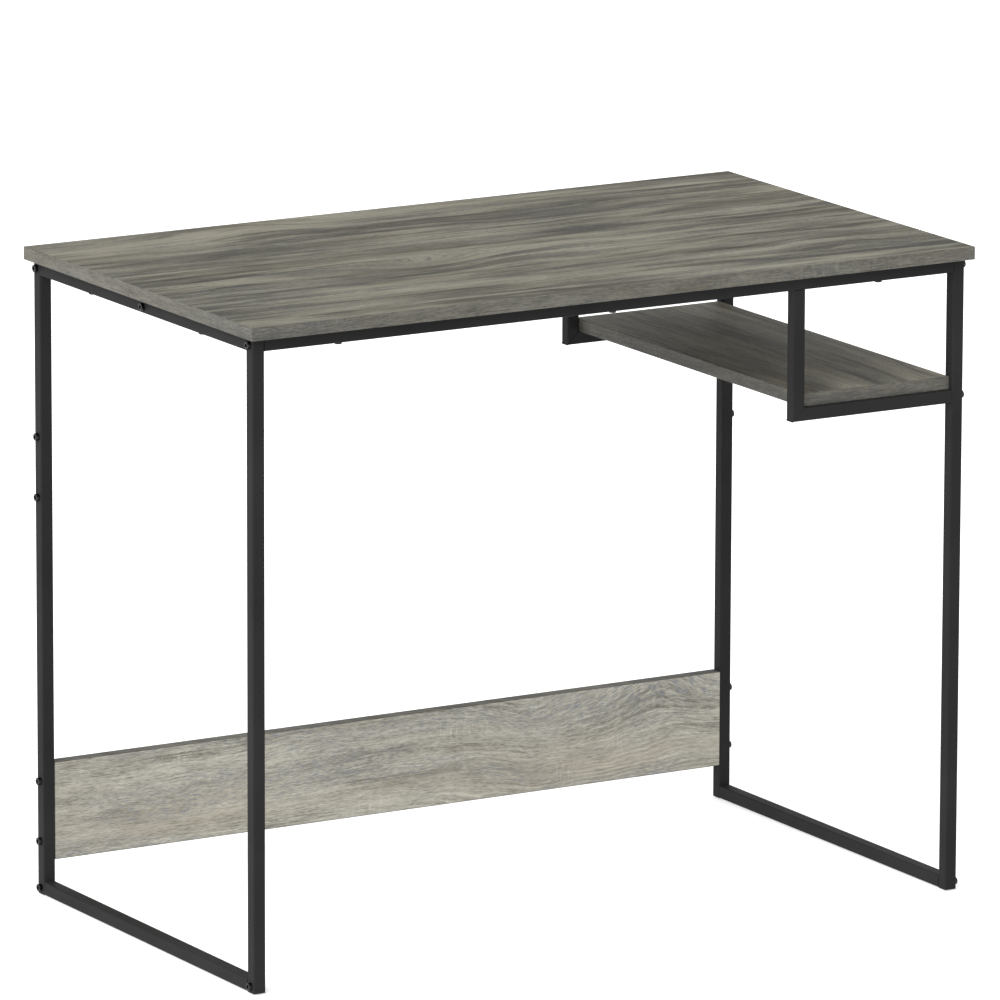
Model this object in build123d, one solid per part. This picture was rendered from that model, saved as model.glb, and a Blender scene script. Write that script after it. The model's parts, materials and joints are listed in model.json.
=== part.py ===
"""A small computer desk with a fixed side shelf, in millimetres.

The frame stands on the floor at Z = 0. X runs along the desk, Y from front (-) to back (+).
Two side frames of square tube are joined by three cross rails. The desktop is screwed on
from below, a low panel ties the back legs together, and a shelf rests on two hanging arms.
"""
import os

from build123d import *

# Boards
TOP_LENGTH = 930.0
TOP_DEPTH = 528.0
BOARD = 15.0
BAND = 0.8                      # thickness of the edging strips
BAND_EASE = 0.4                 # eased outer corners of the edging

# Square tube
TUBE = 15.0
WALL = 1.2
TUBE_RADIUS = 1.8
BORE = TUBE - 2 * WALL
BORE_RADIUS = TUBE_RADIUS - WALL

# Overall frame
FOOT_REACH = 1.5                # how far the feet hold the tubes off the floor
LEG_LENGTH = 733.0
SIDE_OVERHANG = 6.5
END_OVERHANG = 11.0             # front and back
LEG_TOP = FOOT_REACH + LEG_LENGTH
FRAME_X = TOP_LENGTH / 2 - SIDE_OVERHANG
FRAME_Y = TOP_DEPTH / 2 - END_OVERHANG
LEG_X = FRAME_X - TUBE / 2
LEG_Y = FRAME_Y - TUBE / 2
INSIDE_X = FRAME_X - TUBE
INSIDE_Y = FRAME_Y - TUBE
TOP_RAIL_Z = LEG_TOP - TUBE / 2
MIDDLE_RAIL_Y = -5.0             # the middle cross rail, a little forward of the middle
LOW_RAIL_Z = FOOT_REACH + TUBE / 2

# Hanging shelf
SHELF_BOTTOM = 584.5
POST_X = 240.0
SHELF_GAP = 0.3
SHELF_DEPTH = 494.0
SHELF_LEFT = POST_X + TUBE / 2 + SHELF_GAP
SHELF_RIGHT = INSIDE_X - SHELF_GAP
ARM_Z = SHELF_BOTTOM - TUBE / 2

# Back panel
PANEL_HEIGHT = 114.0
PANEL_BOTTOM = 41.5
PANEL_GAP = 0.3
PANEL_X = INSIDE_X - PANEL_GAP
PANEL_FRONT = INSIDE_Y
PANEL_BOLT_SPACING = 70.0
PANEL_BOLT_Z = PANEL_BOTTOM + PANEL_HEIGHT / 2
SPARE_BOLT_Z = PANEL_BOLT_Z + 400.0

# M5 socket cap bolts, and their threads
BOLT_RADIUS = 2.5
BOLT_HOLE = 2.6
THREAD_HOLE = 2.55
HEAD_RADIUS = 4.3
HEAD_HEIGHT = 4.0
HEAD_ROUND = 0.5
SOCKET_FLATS = 4.0
SOCKET_DEPTH = 1.9
LONG_BOLT = 30.0
SHORT_BOLT = 12.0
PANEL_BOLT = 42.0
POST_BOLT = 14.0
ACCESS_HOLE = 5.2
NUT_FLATS = 8.0
NUT_HEIGHT = 4.0
PLUG_LENGTH = 18.0

# Barrel nuts in the back panel
BARREL_RADIUS = 4.0
BARREL_LENGTH = 10.0
BARREL_INSET = 22.0
BARREL_CLEARANCE = 0.05
BARREL_CHAMFER = 0.4
DRIVER_SLOT = 1.2
DRIVER_SLOT_DEPTH = 1.5

# Wood screws through the rails into the desktop
SCREW_RADIUS = 1.9
SCREW_HOLE = 2.1
PILOT_HOLE = 1.95
SCREW_HEAD_RADIUS = 4.25
SCREW_HEAD_HEIGHT = 2.4
SCREW_LENGTH = 26.0
PILOT_DEPTH = 12.6
SCREW_HEAD_ROUND = 1.0
CROSS_LENGTH = 4.4
CROSS_WIDTH = 1.0
CROSS_DEPTH = 1.5
LONG_RAIL_SCREWS_X = (-348.0, 0.0, 348.0)
MIDDLE_RAIL_SCREWS_X = (-220.0, 220.0)
SIDE_RAIL_SCREWS_Y = (-127.0, 127.0)

# Low rail connectors and levelling feet
TONGUE = 10.0
TONGUE_SLOT = 10.4
TONGUE_LENGTH = 12.5
CONNECTOR_LENGTH = 16.0
FOOT_INSET = 4.5
FOOT_Y = INSIDE_Y - FOOT_INSET
STEM_RADIUS = 2.5
STEM_HOLE = 2.55
STEM_SLOT = 2.9
STEM_BOTTOM = 0.5
STEM_TOP = 14.9
PAD_FLATS = 7.0
PAD_HEIGHT = 1.3
PAD_EASE = 0.25
END_CAP = 1.5

X_DIR = Vector(1, 0, 0)
Y_DIR = Vector(0, 1, 0)
Z_DIR = Vector(0, 0, 1)
SIDES = {"left": -1, "right": 1}
ENDS = {"front": -1, "rear": 1}
CENTRED_UP = (Align.CENTER, Align.CENTER, Align.MIN)


def bar(start, end, size, radius):
    """A solid bar of rounded square section between two points on one axis."""
    start, end = Vector(*start), Vector(*end)
    run = end - start
    across = Y_DIR if abs(run.X) > abs(run.Y) else X_DIR
    plane = Plane(origin=start, x_dir=across, z_dir=run)
    return extrude(plane * RectangleRounded(size, size, radius), amount=run.length)


def tube(start, end):
    """Square tube, hollow from end to end."""
    return bar(start, end, TUBE, TUBE_RADIUS) - bar(start, end, BORE, BORE_RADIUS)


def plug(start, end):
    """A solid block that fills the tube's bore."""
    return bar(start, end, BORE, BORE_RADIUS)


def rod(start, direction, radius, length):
    """A round bar from a point along a direction, used for holes too."""
    plane = Plane(origin=Vector(*start), z_dir=direction)
    return plane * Cylinder(radius, length, align=CENTRED_UP)


def drill(solid, start, direction, radius, length):
    """Cut a round hole."""
    return solid - rod(start, direction, radius, length)


def box_between(low, high):
    """A box given by its lowest and highest corners."""
    size = [b - a for a, b in zip(low, high)]
    middle = [(a + b) / 2 for a, b in zip(low, high)]
    return Pos(*middle) * Box(*size)


def bolt(seat, outward, length):
    """A socket cap bolt: its head stands out of the seat, its shank runs in."""
    head = Cylinder(HEAD_RADIUS, HEAD_HEIGHT, align=CENTRED_UP)
    head = fillet(head.edges().group_by(Axis.Z)[-1], HEAD_ROUND)
    socket = extrude(RegularPolygon(SOCKET_FLATS / 2, 6, major_radius=False), amount=SOCKET_DEPTH)
    head -= Pos(0, 0, HEAD_HEIGHT - SOCKET_DEPTH) * socket
    shank = Pos(0, 0, -length) * Cylinder(BOLT_RADIUS, length, align=CENTRED_UP)
    return Plane(origin=Vector(*seat), z_dir=outward) * (head + shank)


def wood_screw(x, y):
    """A pan-head screw driven up through a top rail into the desktop."""
    seat = LEG_TOP - TUBE
    head = Pos(x, y, seat - SCREW_HEAD_HEIGHT) * Cylinder(
        SCREW_HEAD_RADIUS, SCREW_HEAD_HEIGHT, align=CENTRED_UP)
    head = fillet(head.edges().group_by(Axis.Z)[0], SCREW_HEAD_ROUND)
    for length, width in ((CROSS_LENGTH, CROSS_WIDTH), (CROSS_WIDTH, CROSS_LENGTH)):
        arm = Box(length, width, CROSS_DEPTH, align=CENTRED_UP)
        head -= Pos(x, y, seat - SCREW_HEAD_HEIGHT) * arm
    return head + Pos(x, y, seat) * Cylinder(SCREW_RADIUS, SCREW_LENGTH, align=CENTRED_UP)


def top_screws():
    """Where each wood screw stands, as (x, y)."""
    along = [(x, end * LEG_Y) for end in ENDS.values() for x in LONG_RAIL_SCREWS_X]
    middle = [(x, MIDDLE_RAIL_Y) for x in MIDDLE_RAIL_SCREWS_X]
    sides = [(side * LEG_X, y) for side in SIDES.values() for y in SIDE_RAIL_SCREWS_Y]
    return along + middle + sides


def side_bolt_heights(end):
    """Heights of the bolts through a leg, and whether each one joins something inside."""
    heights = [(TOP_RAIL_Z, "cross rail")]
    if end == "rear":
        for offset in (-PANEL_BOLT_SPACING / 2, PANEL_BOLT_SPACING / 2):
            heights.append((PANEL_BOLT_Z + offset, "panel"))
            heights.append((SPARE_BOLT_Z + offset, "spare"))
    return heights


def leg(side, end):
    """One leg, with its bolt holes and the slot for the low rail's tongue."""
    x, y = SIDES[side] * LEG_X, ENDS[end] * LEG_Y
    inward = X_DIR * -SIDES[side]
    outer_x = SIDES[side] * (FRAME_X + 1)
    body = tube((x, y, FOOT_REACH), (x, y, LEG_TOP))
    for height, joins in side_bolt_heights(end):
        depth = TUBE / 2 if joins == "spare" else TUBE + 2
        body = drill(body, (outer_x, y, height), inward, BOLT_HOLE, depth)
    if side == "right":
        body = drill(body, (outer_x, y, ARM_Z), inward, BOLT_HOLE, TUBE + 2)
    body = drill(body, (outer_x, y, LOW_RAIL_Z), inward, BOLT_HOLE, TUBE / 2)
    slot_y = ENDS[end] * (INSIDE_Y + WALL / 2)
    return body - Pos(x, slot_y, LOW_RAIL_Z) * Box(TONGUE_SLOT, 2 * WALL, TONGUE_SLOT)


def side_top_rail(side):
    """The top rail of a side frame, drilled for the middle cross rail and its screws."""
    x = SIDES[side] * LEG_X
    rail = tube((x, -INSIDE_Y, TOP_RAIL_Z), (x, INSIDE_Y, TOP_RAIL_Z))
    inward = X_DIR * -SIDES[side]
    start = (SIDES[side] * (FRAME_X + 1), MIDDLE_RAIL_Y, TOP_RAIL_Z)
    rail = drill(rail, start, inward, BOLT_HOLE, TUBE + 2)
    for y in SIDE_RAIL_SCREWS_Y:
        rail = drill(rail, (x, y, LEG_TOP - TUBE - 1), Z_DIR, SCREW_HOLE, TUBE + 2)
    return rail


def side_low_rail(side):
    """The low rail of a side frame, with a hole near each end for a foot."""
    x = SIDES[side] * LEG_X
    rail = tube((x, -INSIDE_Y, LOW_RAIL_Z), (x, INSIDE_Y, LOW_RAIL_Z))
    for end in ENDS.values():
        rail = drill(rail, (x, end * FOOT_Y, FOOT_REACH - 1), Z_DIR, STEM_SLOT, TUBE / 2)
    return rail


def cross_rail(y, screws_x, post_hole):
    """A rail along the desk under the top, drilled for its screws and a shelf post."""
    rail = tube((-INSIDE_X, y, TOP_RAIL_Z), (INSIDE_X, y, TOP_RAIL_Z))
    for x in screws_x:
        rail = drill(rail, (x, y, LEG_TOP - TUBE - 1), Z_DIR, SCREW_HOLE, TUBE + 2)
    if post_hole:
        rail = drill(rail, (POST_X, y, TOP_RAIL_Z), Z_DIR, ACCESS_HOLE, TUBE)
        rail = drill(rail, (POST_X, y, TOP_RAIL_Z), -Z_DIR, BOLT_HOLE, TUBE)
    return rail


def mitre(end):
    """The plane of the welded corner between a shelf post and its arm."""
    y = ENDS[end] * LEG_Y
    return Plane(origin=(POST_X, y, ARM_Z), x_dir=(0, 1, 0), z_dir=(-1, 0, 1))


def shelf_post(end):
    """The upright that hangs an arm from a cross rail."""
    y = ENDS[end] * LEG_Y
    whole = tube((POST_X, y, ARM_Z - TUBE / 2), (POST_X, y, LEG_TOP - TUBE))
    return split(whole, bisect_by=mitre(end), keep=Keep.TOP)


def shelf_arm(end):
    """The level tube that carries one end of the shelf."""
    y = ENDS[end] * LEG_Y
    whole = tube((POST_X - TUBE / 2, y, ARM_Z), (INSIDE_X, y, ARM_Z))
    return split(whole, bisect_by=mitre(end), keep=Keep.BOTTOM)


def edge_band(low, high):
    """Four edging strips round a board, the long ones running past the short ones."""
    (x0, y0, z0), (x1, y1, z1) = low, high
    strips = []
    for outer, inner, pick in ((y0, y0 + BAND, 0), (y1, y1 - BAND, -1)):
        strip = box_between((x0, min(outer, inner), z0), (x1, max(outer, inner), z1))
        rim = strip.edges().filter_by(Axis.X).group_by(Axis.Y)[pick]
        strips.append(chamfer(rim, BAND_EASE))
    for outer, inner, pick in ((x0, x0 + BAND, 0), (x1, x1 - BAND, -1)):
        strip = box_between((min(outer, inner), y0 + BAND, z0), (max(outer, inner), y1 - BAND, z1))
        rim = strip.edges().filter_by(Axis.Y).group_by(Axis.X)[pick]
        strips.append(chamfer(rim, BAND_EASE))
    return strips


def flat_board(low, high):
    """The board's core, inside its edging."""
    core_low = (low[0] + BAND, low[1] + BAND, low[2])
    core_high = (high[0] - BAND, high[1] - BAND, high[2])
    return box_between(core_low, core_high)


def top_corners():
    low = (-TOP_LENGTH / 2, -TOP_DEPTH / 2, LEG_TOP)
    return low, (TOP_LENGTH / 2, TOP_DEPTH / 2, LEG_TOP + BOARD)


def shelf_corners():
    low = (SHELF_LEFT, -SHELF_DEPTH / 2, SHELF_BOTTOM)
    return low, (SHELF_RIGHT, SHELF_DEPTH / 2, SHELF_BOTTOM + BOARD)


def desktop():
    """The top board, with blind pilot holes for the wood screws."""
    board = flat_board(*top_corners())
    for x, y in top_screws():
        board = drill(board, (x, y, LEG_TOP - 1), Z_DIR, PILOT_HOLE, PILOT_DEPTH + 1)
    return board


def panel_bolt_places():
    """Each bolt into the back panel, as (side, height)."""
    half = PANEL_BOLT_SPACING / 2
    return [(s, PANEL_BOLT_Z + dz) for s in SIDES.values() for dz in (-half, half)]


def rear_panel():
    """The low back panel, bored from its ends for the bolts and from behind for their nuts."""
    board = box_between((-PANEL_X, PANEL_FRONT, PANEL_BOTTOM + BAND),
                        (PANEL_X, PANEL_FRONT + BOARD, PANEL_BOTTOM + PANEL_HEIGHT - BAND))
    nut_hole = BARREL_RADIUS + BARREL_CLEARANCE
    nut_mouth = PANEL_FRONT + BOARD + 1
    nut_end = LEG_Y - BARREL_LENGTH / 2 - BARREL_CLEARANCE
    for side, z in panel_bolt_places():
        board = drill(board, (side * FRAME_X, LEG_Y, z), X_DIR * -side, BOLT_HOLE, PANEL_BOLT + 2)
        nut_x = side * (INSIDE_X - BARREL_INSET)
        board = drill(board, (nut_x, nut_mouth, z), -Y_DIR, nut_hole, nut_mouth - nut_end)
    return board


def panel_edge_band():
    """The edging strips on the top and bottom of the back panel."""
    strips = []
    for low, pick in ((PANEL_BOTTOM, 0), (PANEL_BOTTOM + PANEL_HEIGHT - BAND, -1)):
        strip = box_between((-PANEL_X, PANEL_FRONT, low), (PANEL_X, PANEL_FRONT + BOARD, low + BAND))
        rim = strip.edges().filter_by(Axis.X).group_by(Axis.Z)[pick]
        strips.append(chamfer(rim, BAND_EASE))
    return strips


def barrel_nuts():
    """The cross nuts that the panel bolts screw into, slotted on the end that shows."""
    nuts = []
    for side, z in panel_bolt_places():
        x = side * (INSIDE_X - BARREL_INSET)
        nut = rod((x, LEG_Y - BARREL_LENGTH / 2, z), Y_DIR, BARREL_RADIUS, BARREL_LENGTH)
        nut = chamfer(nut.edges().group_by(Axis.Y)[-1], BARREL_CHAMFER)
        slot_y = LEG_Y + BARREL_LENGTH / 2
        nut -= Pos(x, slot_y, z) * Box(2 * BARREL_RADIUS, 2 * DRIVER_SLOT_DEPTH, DRIVER_SLOT)
        nuts.append(drill(nut, (x - 10, LEG_Y, z), X_DIR, THREAD_HOLE, 20))
    return nuts


def rail_plug(side, y, z):
    """A threaded block in the end of a level tube, for a bolt along X."""
    end_x = side * INSIDE_X
    block = plug((end_x, y, z), (end_x - side * PLUG_LENGTH, y, z))
    return drill(block, (end_x + side, y, z), X_DIR * -side, THREAD_HOLE, PLUG_LENGTH + 2)


def cross_rail_plugs(y):
    return [rail_plug(side, y, TOP_RAIL_Z) for side in SIDES.values()]


def arm_plugs():
    return [rail_plug(SIDES["right"], end * LEG_Y, ARM_Z) for end in ENDS.values()]


def post_plugs():
    """Threaded blocks in the tops of the shelf posts."""
    top = LEG_TOP - TUBE
    blocks = []
    for end in ENDS.values():
        block = plug((POST_X, end * LEG_Y, top), (POST_X, end * LEG_Y, top - PLUG_LENGTH))
        blocks.append(drill(block, (POST_X, end * LEG_Y, top + 1), -Z_DIR, THREAD_HOLE,
                            PLUG_LENGTH + 2))
    return blocks


def post_bolts():
    """Bolts from inside the cross rails down into the shelf posts."""
    seat = LEG_TOP - TUBE + WALL
    return [bolt((POST_X, end * LEG_Y, seat), Z_DIR, POST_BOLT) for end in ENDS.values()]


def frame_bolts(side):
    """The bolts at the top of a side frame, one into each cross rail."""
    s = SIDES[side]
    rails = (-LEG_Y, MIDDLE_RAIL_Y, LEG_Y)
    return [bolt((s * FRAME_X, y, TOP_RAIL_Z), X_DIR * s, LONG_BOLT) for y in rails]


def low_rail_bolts():
    """The bolts at the feet of the legs, into the tongues."""
    return [bolt((s * FRAME_X, e * LEG_Y, LOW_RAIL_Z), X_DIR * s, SHORT_BOLT)
            for s in SIDES.values() for e in ENDS.values()]


def arm_bolts():
    """The bolts through the right legs into the shelf arms."""
    s = SIDES["right"]
    return [bolt((s * FRAME_X, e * LEG_Y, ARM_Z), X_DIR * s, LONG_BOLT) for e in ENDS.values()]


def panel_bolts():
    return [bolt((s * FRAME_X, LEG_Y, z), X_DIR * s, PANEL_BOLT) for s, z in panel_bolt_places()]


def spare_places():
    """The panel's other height on the back legs, as (side, height)."""
    half = PANEL_BOLT_SPACING / 2
    return [(s, SPARE_BOLT_Z + dz) for s in SIDES.values() for dz in (-half, half)]


def spare_bolts():
    return [bolt((s * FRAME_X, LEG_Y, z), X_DIR * s, SHORT_BOLT - WALL) for s, z in spare_places()]


def spare_nuts():
    """Nuts inside the back legs behind the spare bolts."""
    nuts = []
    for s, z in spare_places():
        seat = Plane(origin=(s * (FRAME_X - WALL), LEG_Y, z), x_dir=(0, 0, 1), z_dir=(-s, 0, 0))
        hexagon = seat * RegularPolygon(NUT_FLATS / 2, 6, major_radius=False)
        nut = extrude(hexagon, amount=NUT_HEIGHT)
        nuts.append(drill(nut, (s * FRAME_X, LEG_Y, z), X_DIR * -s, THREAD_HOLE, TUBE / 2))
    return nuts


def low_rail_connector(side, end):
    """A block in the low rail's end: its tongue enters the leg, and the foot screws into it."""
    x, e = SIDES[side] * LEG_X, ENDS[end]
    joint_y = e * INSIDE_Y
    block = plug((x, joint_y - e * CONNECTOR_LENGTH, LOW_RAIL_Z), (x, joint_y, LOW_RAIL_Z))
    tongue = Pos(x, joint_y + e * TONGUE_LENGTH / 2, LOW_RAIL_Z) * Box(
        TONGUE, TONGUE_LENGTH, TONGUE)
    body = block + tongue
    body = drill(body, (x - TUBE, e * LEG_Y, LOW_RAIL_Z), X_DIR, THREAD_HOLE, 2 * TUBE)
    return drill(body, (x, e * FOOT_Y, 0), Z_DIR, STEM_HOLE, 2 * TUBE)


def leg_cap(side, end):
    """The plastic plate that closes the bottom of a leg."""
    x, y = SIDES[side] * LEG_X, ENDS[end] * LEG_Y
    return plug((x, y, FOOT_REACH), (x, y, FOOT_REACH + END_CAP))


def foot_stem(side, end):
    """The threaded stem of a levelling foot."""
    x, y = SIDES[side] * LEG_X, ENDS[end] * FOOT_Y
    return rod((x, y, STEM_BOTTOM), Z_DIR, STEM_RADIUS, STEM_TOP - STEM_BOTTOM)


def foot_pad(side, end):
    """The moulded hexagonal pad of a levelling foot, with the socket that holds its stem."""
    x, y = SIDES[side] * LEG_X, ENDS[end] * FOOT_Y
    hexagon = RegularPolygon(PAD_FLATS / 2, 6, major_radius=False)
    pad = extrude(Pos(x, y, 0) * hexagon, amount=PAD_HEIGHT)
    pad = chamfer(pad.edges().group_by(Axis.Z)[-1] + pad.edges().group_by(Axis.Z)[0], PAD_EASE)
    return drill(pad, (x, y, STEM_BOTTOM), Z_DIR, STEM_RADIUS, PAD_HEIGHT)


def corner_pieces():
    """The pieces that every corner of the desk has."""
    pieces = {}
    for side in SIDES:
        for end in ENDS:
            name = f"{end}_{side}"
            pieces[f"leg_{name}"] = leg(side, end)
            pieces[f"low_rail_connector_{name}"] = low_rail_connector(side, end)
            pieces[f"foot_stem_{name}"] = foot_stem(side, end)
            pieces[f"foot_pad_{name}"] = foot_pad(side, end)
    return pieces


def all_pieces():
    """Every piece of the desk by node name; a list is one node of separate solids."""
    pieces = {
        "desktop_board": desktop(),
        "desktop_edge_band": edge_band(*top_corners()),
        "shelf_board": flat_board(*shelf_corners()),
        "shelf_edge_band": edge_band(*shelf_corners()),
        "rear_panel": rear_panel(),
        "rear_panel_edge_band": panel_edge_band(),
        "cross_rail_front": cross_rail(-LEG_Y, LONG_RAIL_SCREWS_X, True),
        "cross_rail_middle": cross_rail(MIDDLE_RAIL_Y, MIDDLE_RAIL_SCREWS_X, False),
        "cross_rail_rear": cross_rail(LEG_Y, LONG_RAIL_SCREWS_X, True),
        "cross_rail_plugs_front": cross_rail_plugs(-LEG_Y),
        "cross_rail_plugs_middle": cross_rail_plugs(MIDDLE_RAIL_Y),
        "cross_rail_plugs_rear": cross_rail_plugs(LEG_Y),
        "arm_plugs": arm_plugs(),
        "post_plugs": post_plugs(),
        "leg_caps": [leg_cap(side, end) for side in SIDES for end in ENDS],
        "low_rail_bolts": low_rail_bolts(),
        "arm_bolts": arm_bolts(),
        "post_bolts": post_bolts(),
        "panel_bolts": panel_bolts(),
        "panel_barrel_nuts": barrel_nuts(),
        "spare_bolts": spare_bolts(),
        "spare_nuts": spare_nuts(),
        "desktop_screws": [wood_screw(x, y) for x, y in top_screws()],
    }
    for side in SIDES:
        pieces[f"side_top_rail_{side}"] = side_top_rail(side)
        pieces[f"side_low_rail_{side}"] = side_low_rail(side)
        pieces[f"frame_bolts_{side}"] = frame_bolts(side)
    for end in ENDS:
        pieces[f"shelf_post_{end}"] = shelf_post(end)
        pieces[f"shelf_arm_{end}"] = shelf_arm(end)
    pieces.update(corner_pieces())
    return pieces


def main():
    os.makedirs("parts", exist_ok=True)
    for name, piece in all_pieces().items():
        shape = Compound(children=piece) if isinstance(piece, list) else piece
        export_step(shape, f"parts/{name}.step")


if __name__ == "__main__":
    main()
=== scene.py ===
"""The desk's looks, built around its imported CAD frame. Metres, floor at Z = 0."""
import json
import math

import bmesh
import bpy
from mathutils import Matrix, Vector


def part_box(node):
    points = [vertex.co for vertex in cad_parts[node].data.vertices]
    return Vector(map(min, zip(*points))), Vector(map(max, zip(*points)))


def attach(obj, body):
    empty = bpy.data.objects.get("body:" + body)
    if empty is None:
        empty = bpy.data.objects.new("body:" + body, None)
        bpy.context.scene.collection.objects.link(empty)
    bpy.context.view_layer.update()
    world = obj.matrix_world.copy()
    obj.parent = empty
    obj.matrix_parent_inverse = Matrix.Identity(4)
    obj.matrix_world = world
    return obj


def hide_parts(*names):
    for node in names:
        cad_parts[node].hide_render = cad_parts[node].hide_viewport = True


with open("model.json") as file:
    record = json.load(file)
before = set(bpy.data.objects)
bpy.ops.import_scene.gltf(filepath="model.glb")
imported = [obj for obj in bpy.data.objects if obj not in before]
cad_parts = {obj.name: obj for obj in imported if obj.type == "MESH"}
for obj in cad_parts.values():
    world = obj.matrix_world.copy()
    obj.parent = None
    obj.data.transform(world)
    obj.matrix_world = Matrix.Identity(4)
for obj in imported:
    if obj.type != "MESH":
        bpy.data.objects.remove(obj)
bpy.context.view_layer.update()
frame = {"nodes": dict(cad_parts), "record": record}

X_AXIS = (1.0, 0.0, 0.0)
Y_AXIS = (0.0, 1.0, 0.0)
Z_AXIS = (0.0, 0.0, 1.0)
ROUND_THE_EDGE = (1.0, 1.0, 0.0)        # runs along a board's edging on all four sides
QUARTER_TURN = math.radians(90)

ENDS = ("front", "rear")
FEET = [f"{end}_{side}" for end in ENDS for side in ("left", "right")]

# Camera: a long lens from the front left, a little above the desk
CAMERA_PLACE = (-5.5985, -9.5079, 2.9137)
CAMERA_HEADING = 30.497         # degrees to the right of straight back
CAMERA_DROP = 12.55             # degrees below level
CAMERA_ROLL = 0.187             # degrees
CAMERA_LENS = 360.07            # mm, as the sensor is
CAMERA_SENSOR = 36.0
CAMERA_REACH = 200.0            # how far it sees

# Light: an even white room, and one soft sun
ROOM_STRENGTH = 1.0
SUN_HEADING = 71.0              # degrees left of the desk's front
SUN_HEIGHT = 35.0               # degrees above level
SUN_STRENGTH = 3.5
SUN_SOFTNESS = 50.0             # degrees across

FLOOR_HALF = 40.0
FLOOR_GLOW = 0.45               # lifts the soft shadows towards white
FLOOR_DARK = (0.70, 0.70, 0.70, 1.0)
FLOOR_PALE = (0.72, 0.72, 0.72, 1.0)
WHITE = (1.0, 1.0, 1.0, 1.0)

THREAD_PITCH = 0.0008
THREAD_DEPTH = 0.00045
THREAD_FLAT = 1.25              # above 1, it cuts the thread's crests off flat
THREAD_SEGMENTS = 32
THREAD_ROWS = 8                 # rings for each turn of thread

TUBE_ROUND = 0.0018             # outer corner radius of the square tube
WELD_RADIUS = 0.0005
WELD_SEGMENTS = 12
WELD_CORNER_STEPS = 6           # points round each corner of the tube


def linear(channel):
    """One sRGB channel, 0 to 255, as the linear value that shaders use."""
    c = channel / 255.0
    return c / 12.92 if c <= 0.04045 else ((c + 0.055) / 1.055) ** 2.4


def paint(red, green, blue):
    """An sRGB colour as linear RGBA."""
    return (linear(red), linear(green), linear(blue), 1.0)


# ---------------------------------------------------------------- material building

class Graph:
    """Builds one material's nodes. Its methods return output sockets."""

    def __init__(self, name):
        self.material = bpy.data.materials.new(name)
        self.material.use_nodes = True
        self.tree = self.material.node_tree
        self.shader = self.tree.nodes["Principled BSDF"]
        place = self.tree.nodes.new("ShaderNodeTexCoord")
        self.place = place.outputs["Object"]

    def put(self, socket, value):
        """Set a socket to a constant, or link it to another socket."""
        if isinstance(value, bpy.types.NodeSocket):
            self.tree.links.new(value, socket)
        else:
            socket.default_value = value

    def math(self, operation, a, b=0.0, clamp=False):
        node = self.tree.nodes.new("ShaderNodeMath")
        node.operation = operation
        node.use_clamp = clamp
        self.put(node.inputs[0], a)
        self.put(node.inputs[1], b)
        return node.outputs[0]

    def plus(self, a, b):
        return self.math("ADD", a, b)

    def minus(self, a, b):
        return self.math("SUBTRACT", a, b)

    def times(self, first, *others):
        """Several values multiplied together, from left to right."""
        product = first
        for other in others:
            product = self.math("MULTIPLY", product, other)
        return product

    def centred(self, noise):
        """A noise moved down so that its middle is zero."""
        return self.minus(noise, 0.5)

    def clamped(self, value):
        """A value held between 0 and 1."""
        return self.math("ADD", value, 0.0, clamp=True)

    def along(self, direction):
        """How far the point is along a direction, in metres."""
        node = self.tree.nodes.new("ShaderNodeVectorMath")
        node.operation = "DOT_PRODUCT"
        self.put(node.inputs[0], self.place)
        self.put(node.inputs[1], direction)
        return node.outputs["Value"]

    def point(self, u, v, w):
        node = self.tree.nodes.new("ShaderNodeCombineXYZ")
        for socket, value in zip(node.inputs, (u, v, w)):
            self.put(socket, value)
        return node.outputs[0]

    def noise(self, vector, scale=1.0, detail=2.0, rough=0.5):
        node = self.tree.nodes.new("ShaderNodeTexNoise")
        self.put(node.inputs["Vector"], vector)
        self.put(node.inputs["Scale"], scale)
        self.put(node.inputs["Detail"], detail)
        self.put(node.inputs["Roughness"], rough)
        return node.outputs["Fac"]

    def spread(self, value, low, high, out_low=0.0, out_high=1.0):
        """Map low..high to out_low..out_high smoothly, and hold outside it."""
        node = self.tree.nodes.new("ShaderNodeMapRange")
        node.interpolation_type = "SMOOTHSTEP"
        ends = {"Value": value, "From Min": low, "From Max": high,
                "To Min": out_low, "To Max": out_high}
        for name, end in ends.items():
            self.put(node.inputs[name], end)
        return node.outputs[0]

    def ramp(self, value, stops):
        """A colour ramp from (position, colour) stops."""
        node = self.tree.nodes.new("ShaderNodeValToRGB")
        self.put(node.inputs[0], value)
        elements = node.color_ramp.elements
        while len(elements) < len(stops):
            elements.new(1.0)
        for element, (position, colour) in zip(elements, stops):
            element.position = position
            element.color = colour
        return node.outputs["Color"]

    def mix(self, amount, a, b, blend="MIX"):
        """Colour a with so much of colour b blended over it."""
        node = self.tree.nodes.new("ShaderNodeMix")
        node.data_type = "RGBA"
        node.blend_type = blend
        self.put(node.inputs["Factor"], amount)
        self.put(node.inputs["A"], a)
        self.put(node.inputs["B"], b)
        return node.outputs["Result"]

    def bump(self, height, distance):
        """Relief for the Normal input; distance is its depth in metres."""
        node = self.tree.nodes.new("ShaderNodeBump")
        self.put(node.inputs["Height"], height)
        self.put(node.inputs["Distance"], distance)
        self.put(node.inputs["Strength"], 1.0)
        return node.outputs[0]

    def finish(self, **inputs):
        """Set the surface shader's inputs by name, with _ for a space."""
        for name, value in inputs.items():
            self.put(self.shader.inputs[name.replace("_", " ")], value)
        return self.material


# ---------------------------------------------------------------- laminate

# The printed oak's tones from dark to pale, before each board's tint and painted light
OAK_STOPS = (
    (0.00, paint(92, 89, 82)),
    (0.28, paint(128, 125, 116)),
    (0.50, paint(160, 157, 147)),
    (0.72, paint(181, 178, 166)),
    (1.00, paint(203, 200, 188)),
)
MIDDLE_TONE = 0.5
COOL_GREY = paint(122, 127, 134)
WARM_GREY = paint(172, 160, 138)

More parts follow.
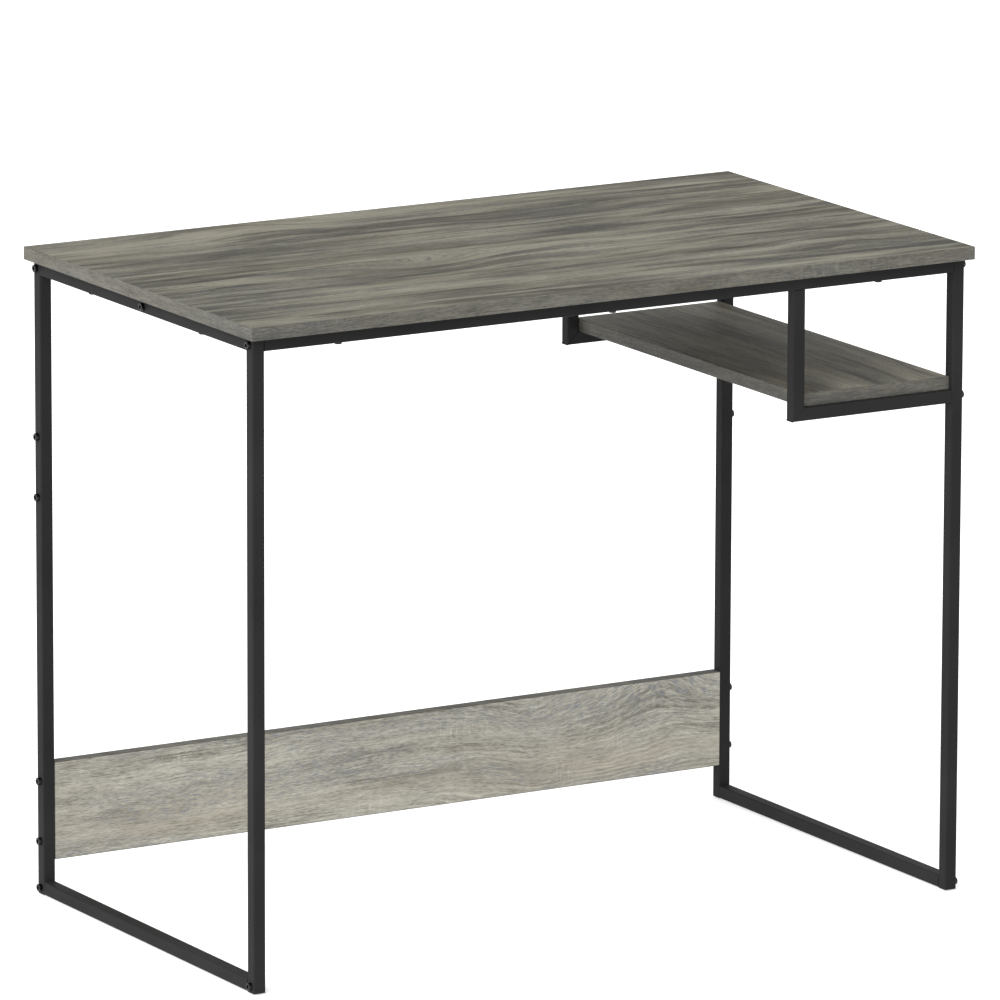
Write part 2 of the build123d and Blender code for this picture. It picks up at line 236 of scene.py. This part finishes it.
# How far each layer moves the tone. A board's streaks multiplies the four smoky ones.
SMOKE = 1.0
BANDS = 0.9
VEINS = 0.6
HEARTS = 0.40
MOTTLE = 0.34
FIBRE = 0.90
FLECKS = 0.90
SAW_MARKS = 0.16

GROWTH_LINES = 170.0            # growth lines to the metre across the grain
GROWTH_STRAY = 1.1              # how far the mottle moves them, in lines
GROWTH_FAINT = 0.2              # how strong they stay where the grain runs straight
WARMTH = 0.20                   # how much warm grey the warm patches take
PORE_COOLNESS = 0.75            # how much cool grey the pores take
PORE_DEPTH = 0.8                # how deep the pores are beside the fibres' relief

# Each board's grain directions, own noise, tint with painted light and shade, and strengths, by
# material slot
# The tints hold painted light and shade: top, shelf and panel are one decor, but the panel is
# painted much lighter and the shelf a little lighter than the top
BOARDS = {
    "laminate_top": {
        "along": X_AXIS, "across": Y_AXIS, "seed": 53.0, "tint_and_painted_light": (0.302, 0.296, 0.264),
        "streaks": 2.4, "sweep": 0.10, "rings": 0.10,
    },
    "laminate_shelf": {
        "along": Y_AXIS, "across": X_AXIS, "seed": 61.0, "tint_and_painted_light": (0.40, 0.393, 0.358),
        "streaks": 1.6, "sweep": 0.10, "rings": 0.10,
    },
    "laminate_panel": {
        "along": X_AXIS, "across": Z_AXIS, "seed": 201.0, "tint_and_painted_light": (0.79, 0.79, 0.785),
        "streaks": 0.6, "sweep": 0.14, "rings": 0.16,
    },
    "edging": {
        "along": ROUND_THE_EDGE, "across": Z_AXIS, "seed": 211.0, "tint_and_painted_light": (0.27, 0.27, 0.268),
        "streaks": 0.6, "sweep": 0.0, "rings": 0.0,
    },
}


class Grain:
    """Noise fields stretched along a board's grain, which can be bent."""

    def __init__(self, graph, along, across, seed):
        self.graph = graph
        self.seed = seed
        self.u = graph.along(along)
        self.v = graph.along(across)

    def field(self, per_metre_along, per_metre_across, shift, **kind):
        """Noise with so many features to the metre each way.

        Every field has its own shift, so that no two of them look alike.
        """
        g = self.graph
        spot = g.point(g.times(self.u, per_metre_along), g.times(self.v, per_metre_across),
                       self.seed + shift)
        return g.noise(spot, **kind)

    def bend(self, offset):
        """Move every later field across the grain by an offset in metres."""
        self.v = self.graph.plus(self.v, offset)

    def waver(self, noise, amount):
        """Bend every later field by a noise, amount metres from end to end."""
        g = self.graph
        self.bend(g.times(g.centred(noise), amount))


def swing_the_grain(grain, sweep):
    """Bend the grain in broad hills and in ever smaller wavers.

    sweep is the hills' height in metres. Returns a mask of where they are.
    """
    g = grain.graph
    swing = g.spread(grain.field(1.7, 8.0, 17.9, detail=1.0), 0.44, 0.62)
    hills = g.centred(grain.field(4.5, 5.5, 19.3, detail=1.5, rough=0.4))
    hills = g.times(hills, swing, sweep)
    grain.waver(grain.field(1.6, 7.0, 3.1, detail=2.0), 0.030)
    grain.bend(hills)
    grain.waver(grain.field(9.0, 40.0, 5.7, detail=2.0), 0.0050)
    grain.waver(grain.field(70.0, 160.0, 7.9, detail=2.0), 0.0016)
    return swing


def add_layers(g, base, layers):
    """Add (amount, field) layers to a tone; each field counts from its middle."""
    tone = base
    for amount, layer in layers:
        tone = g.plus(tone, g.times(g.centred(layer), amount))
    return tone


def smoky_layers(grain, streaks):
    """Long soft streaks along the grain, in three widths."""
    smoke = grain.field(3.0, 14.0, 11.3, detail=4.0, rough=0.55)
    bands = grain.field(2.6, 52.0, 13.1, detail=4.0, rough=0.62)
    veins = grain.field(8.0, 150.0, 33.3, detail=3.0, rough=0.65)
    return [(SMOKE * streaks, smoke), (BANDS * streaks, bands), (VEINS * streaks, veins)]


def growth_lines(grain, swing, mottle, fibre):
    """Growth lines along the grain, in patches and broken into short strokes."""
    g = grain.graph
    lines = g.plus(g.times(grain.v, GROWTH_LINES), g.times(mottle, GROWTH_STRAY))
    lines = g.math("SINE", g.times(lines, 2 * math.pi))
    patches = g.spread(grain.field(3.0, 17.0, 23.3, detail=3.0), 0.45, 0.60)
    patches = g.times(patches, g.plus(g.times(swing, 1.0 - GROWTH_FAINT), GROWTH_FAINT))
    strokes = g.spread(fibre, 0.30, 0.62, 0.25, 1.0)
    return g.times(lines, patches, strokes)


def heart_streaks(grain):
    """Dark bundles of fine lines."""
    g = grain.graph
    bundles = g.spread(grain.field(3.4, 30.0, 26.9, detail=4.0), 0.54, 0.70)
    lines = g.spread(grain.field(14.0, 420.0, 27.7, detail=3.0), 0.34, 0.62)
    return g.times(bundles, lines)


def saw_marks(grain):
    """Pale scratches across the grain, in a few patches."""
    g = grain.graph
    scratches = g.spread(grain.field(420.0, 30.0, 41.3, detail=2.0), 0.54, 0.68)
    patches = g.spread(grain.field(7.0, 17.0, 43.9, detail=2.0), 0.57, 0.66)
    return g.times(scratches, patches)


def open_pores(grain):
    """Short dark pores, in patches."""
    g = grain.graph
    pores = g.spread(grain.field(120.0, 1100.0, 31.7, detail=2.0), 0.52, 0.62)
    patches = g.spread(grain.field(4.0, 26.0, 37.1, detail=3.0), 0.44, 0.58)
    return g.times(pores, patches)


def laminate(name, along, across, seed, tint_and_painted_light, streaks, sweep, rings):
    """Printed grey-oak laminate, its grain along one direction.

    streaks sets how strong the smoky bands are, sweep how far the grain swings away from
    its direction (in metres), and rings how strong the growth lines are.
    """
    g = Graph(name)
    grain = Grain(g, along, across, seed)
    swing = swing_the_grain(grain, sweep)
    mottle = grain.field(24.0, 60.0, 15.7, detail=3.0, rough=0.6)
    fibre = grain.field(34.0, 560.0, 29.9, detail=3.0, rough=0.7)
    flecks = grain.field(150.0, 1200.0, 30.7, detail=2.0, rough=0.6)

    fine_layers = [(MOTTLE, mottle), (FIBRE, fibre), (FLECKS, flecks)]
    tone = add_layers(g, MIDDLE_TONE, smoky_layers(grain, streaks) + fine_layers)
    tone = g.plus(tone, g.times(growth_lines(grain, swing, mottle, fibre), rings))
    tone = g.minus(tone, g.times(heart_streaks(grain), HEARTS * streaks))
    tone = g.plus(tone, g.times(saw_marks(grain), SAW_MARKS))
    colour = g.ramp(g.clamped(tone), OAK_STOPS)

    warm = g.spread(grain.field(3.1, 19.0, 53.1, detail=3.0), 0.46, 0.66)
    colour = g.mix(g.times(warm, WARMTH), colour, WARM_GREY)
    pores = open_pores(grain)
    colour = g.mix(g.times(pores, PORE_COOLNESS), colour, COOL_GREY)
    # The tint multiplies in the board's hue together with its painted light and shade
    colour = g.mix(1.0, colour, (*tint_and_painted_light, 1.0), "MULTIPLY")

    relief = g.minus(fibre, g.times(pores, PORE_DEPTH))
    rough = g.spread(fibre, 0.3, 0.7, 0.58, 0.70)
    return g.finish(Base_Color=colour, Roughness=rough, Specular_IOR_Level=0.18,
                    Normal=g.bump(relief, 0.00006))


# ---------------------------------------------------------------- metal and plastic

def powder_coat():
    """Black powder coat: a fine even orange-peel texture."""
    g = Graph("black_powder_coat")
    peel = g.noise(g.place, scale=1500.0, detail=3.0, rough=0.6)
    fine = g.noise(g.place, scale=5200.0, detail=1.0)
    cloud = g.noise(g.place, scale=9.0, detail=3.0)
    tone = g.plus(g.times(peel, 0.3), g.times(cloud, 0.7))
    colour = g.ramp(tone, [(0.35, paint(33, 33, 33)), (0.65, paint(39, 39, 39))])
    rough = g.spread(peel, 0.3, 0.7, 0.44, 0.58)
    relief = g.plus(peel, g.times(fine, 0.4))
    return g.finish(Base_Color=colour, Roughness=rough, Specular_IOR_Level=0.03,
                    Normal=g.bump(relief, 0.00004))


def speckled(name, noise, colours, gloss, depth, **shader):
    """A finish with one fine noise behind its colour, its roughness and its relief.

    noise is the noise's keywords, colours its darkest and palest, gloss its lowest and
    highest roughness, and depth the relief's in metres.
    """
    g = Graph(name)
    specks = g.noise(g.place, **noise)
    dark, pale = colours
    colour = g.ramp(specks, [(0.3, dark), (0.7, pale)])
    rough = g.spread(specks, 0.3, 0.7, *gloss)
    return g.finish(Base_Color=colour, Roughness=rough, Normal=g.bump(specks, depth), **shader)


def black_oxide():
    """The bolts' satin black finish, a little worn and oily."""
    return speckled("black_oxide_steel", noise={"scale": 700.0, "detail": 3.0, "rough": 0.6},
                    colours=(paint(40, 40, 41), paint(58, 58, 60)), gloss=(0.28, 0.42),
                    depth=0.00001, Metallic=1.0)


def zinc_plate():
    """Bright zinc, finely grained."""
    return speckled("zinc_plated_steel", noise={"scale": 1800.0, "detail": 3.0, "rough": 0.7},
                    colours=(paint(158, 160, 160), paint(198, 199, 196)), gloss=(0.26, 0.44),
                    depth=0.00001, Metallic=1.0)


def black_plastic():
    """Moulded nylon with a faint spark texture."""
    return speckled("black_nylon", noise={"scale": 2600.0, "detail": 2.0},
                    colours=(paint(30, 30, 30), paint(38, 38, 38)), gloss=(0.50, 0.66),
                    depth=0.00003, Specular_IOR_Level=0.4)


def make_materials():
    """One material for each of the record's slots, by slot name."""
    boards = {slot: laminate(slot, **look) for slot, look in BOARDS.items()}
    return {
        **boards,
        "black_frame": powder_coat(),
        "black_bolt": black_oxide(),
        "zinc_steel": zinc_plate(),
        "black_plastic": black_plastic(),
    }


def dress(materials):
    """Give every CAD node the material of its slot."""
    for row in frame["record"]["subparts"]:
        mesh = frame["nodes"][row["node"]].data
        mesh.materials.clear()
        mesh.materials.append(materials[row["material_slot"]])


# ---------------------------------------------------------------- new pieces

def new_piece(name, shape, materials, slot, body):
    """Turn a bmesh into an object that rides on a body, in its slot's material."""
    mesh = bpy.data.meshes.new(name)
    shape.normal_update()
    shape.to_mesh(mesh)
    shape.free()
    mesh.shade_smooth()
    mesh.materials.append(materials[slot])
    piece = bpy.data.objects.new(name, mesh)
    bpy.context.scene.collection.objects.link(piece)
    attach(piece, body)
    return piece


def skin(shape, rings):
    """Join each ring of points to the next one with a band of faces."""
    for ring, after in zip(rings, rings[1:]):
        for side in range(len(ring)):
            beside = (side + 1) % len(ring)
            shape.faces.new((ring[side], ring[beside], after[beside], after[side]))


def thread_ring(shape, centre, radius, z, fade):
    """One ring of points round the thread at height z.

    fade is 1 along the full thread and falls to 0 at the rod's two ends.
    """
    ring = []
    for step in range(THREAD_SEGMENTS):
        angle = 2 * math.pi * step / THREAD_SEGMENTS
        phase = (z / THREAD_PITCH - step / THREAD_SEGMENTS) % 1.0
        crest = 1.0 - abs(2.0 * phase - 1.0)
        r = radius - THREAD_DEPTH + THREAD_DEPTH * min(1.0, THREAD_FLAT * crest) * fade
        ring.append(shape.verts.new((centre.x + r * math.cos(angle),
                                     centre.y + r * math.sin(angle), z)))
    return ring


def threaded_rod(low, high):
    """A closed rod with a helical thread that fills the box of a plain stem."""
    centre = (low + high) / 2
    radius = (high.x - low.x) / 2
    turns = (high.z - low.z) / THREAD_PITCH
    rows = int(turns * THREAD_ROWS)
    shape = bmesh.new()
    rings = []
    for row in range(rows + 1):
        z = low.z + (high.z - low.z) * row / rows
        fade = max(0.0, min(1.0, (z - low.z) / THREAD_PITCH, (high.z - z) / THREAD_PITCH))
        rings.append(thread_ring(shape, centre, radius, z, fade))
    skin(shape, rings)
    shape.faces.new(list(reversed(rings[0])))
    shape.faces.new(rings[-1])
    return shape


def thread_the_feet(materials):
    """Replace each foot's plain stem with a threaded one."""
    for foot in FEET:
        stem = f"foot_stem_{foot}"
        shape = threaded_rod(*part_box(stem))
        piece = new_piece(f"thread_{foot}", shape, materials, "zinc_steel", f"foot_{foot}")
        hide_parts(stem)


def tube_outline(half):
    """Points round a square tube's four rounded corners, as x, y and the way they face."""
    flat = half - TUBE_ROUND
    for quarter in range(4):
        middle = QUARTER_TURN * (quarter + 0.5)
        for step in range(WELD_CORNER_STEPS):
            turn = QUARTER_TURN * (quarter + step / (WELD_CORNER_STEPS - 1))
            x = math.copysign(flat, math.cos(middle)) + TUBE_ROUND * math.cos(turn)
            y = math.copysign(flat, math.sin(middle)) + TUBE_ROUND * math.sin(turn)
            yield x, y, turn


def weld_bead(corner, half):
    """A closed bead round the mitre where an upright tube turns level.

    corner is the middle of the joint and half is half the tube's width. The mitre slants at
    45 degrees, so a point's height above the corner equals its distance from it along X.
    """
    shape = bmesh.new()
    lengthwise = Vector((-1, 0, 1)).normalized()
    rings = []
    for x, y, turn in tube_outline(half):
        place = corner + Vector((x, y, x))
        outward = Vector((math.cos(turn), math.sin(turn), math.cos(turn))).normalized()
        ring = []
        for side in range(WELD_SEGMENTS):
            angle = 2 * math.pi * side / WELD_SEGMENTS
            offset = outward * math.cos(angle) + lengthwise * math.sin(angle)
            ring.append(shape.verts.new(place + offset * WELD_RADIUS))
        rings.append(ring)
    skin(shape, rings + rings[:1])
    bmesh.ops.recalc_face_normals(shape, faces=shape.faces)
    return shape


def weld_the_shelf_arms(materials):
    """A painted weld bead round each mitre between a shelf post and its arm."""
    for end in ENDS:
        low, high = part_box(f"shelf_post_{end}")
        half = (high.x - low.x) / 2
        corner = Vector(((low.x + high.x) / 2, (low.y + high.y) / 2, low.z + half))
        new_piece(f"weld_{end}", weld_bead(corner, half), materials, "black_frame", "desk")


# ---------------------------------------------------------------- stage, light and camera

def make_floor():
    """A large plain floor, nearly white."""
    bpy.ops.mesh.primitive_plane_add(size=2 * FLOOR_HALF, location=(0, 0, 0))
    floor = bpy.context.object
    floor.name = "floor"
    g = Graph("floor_white")
    cloud = g.noise(g.place, scale=0.6, detail=2.0)
    colour = g.ramp(cloud, [(0.3, FLOOR_DARK), (0.7, FLOOR_PALE)])
    floor.data.materials.append(g.finish(Base_Color=colour, Roughness=0.9, Specular_IOR_Level=0.0,
                                         Emission_Color=WHITE, Emission_Strength=FLOOR_GLOW))


def make_room():
    """Even white light from all round."""
    world = bpy.data.worlds.new("studio")
    bpy.context.scene.world = world
    world.use_nodes = True
    background = world.node_tree.nodes["Background"]
    background.inputs["Color"].default_value = WHITE
    background.inputs["Strength"].default_value = ROOM_STRENGTH


def make_sun():
    """A soft distant light that shapes without highlights, so black paint stays black."""
    light = bpy.data.lights.new("key", "SUN")
    light.energy = SUN_STRENGTH
    light.angle = math.radians(SUN_SOFTNESS)
    lamp = bpy.data.objects.new("key", light)
    lamp.visible_glossy = False
    a, e = math.radians(SUN_HEADING), math.radians(SUN_HEIGHT)
    source = Vector((-math.sin(a) * math.cos(e), -math.cos(a) * math.cos(e), math.sin(e)))
    lamp.rotation_mode = "QUATERNION"
    lamp.rotation_quaternion = source.to_track_quat("Z", "Y")
    bpy.context.scene.collection.objects.link(lamp)


def make_camera():
    """One camera, placed and turned as the values at the top say."""
    data = bpy.data.cameras.new("camera")
    data.lens = CAMERA_LENS
    data.sensor_width = CAMERA_SENSOR
    data.clip_end = CAMERA_REACH
    camera = bpy.data.objects.new("camera", data)
    bpy.context.scene.collection.objects.link(camera)
    turn = Matrix.Rotation(math.radians(-CAMERA_HEADING), 4, "Z")
    tilt = Matrix.Rotation(math.radians(90.0 - CAMERA_DROP), 4, "X")
    roll = Matrix.Rotation(math.radians(CAMERA_ROLL), 4, "Z")
    camera.matrix_world = Matrix.Translation(CAMERA_PLACE) @ turn @ tilt @ roll
    bpy.context.scene.camera = camera


make_camera()
make_room()
make_sun()
make_floor()
materials = make_materials()
dress(materials)
thread_the_feet(materials)
weld_the_shelf_arms(materials)
bpy.context.scene.view_settings.view_transform = "Standard"
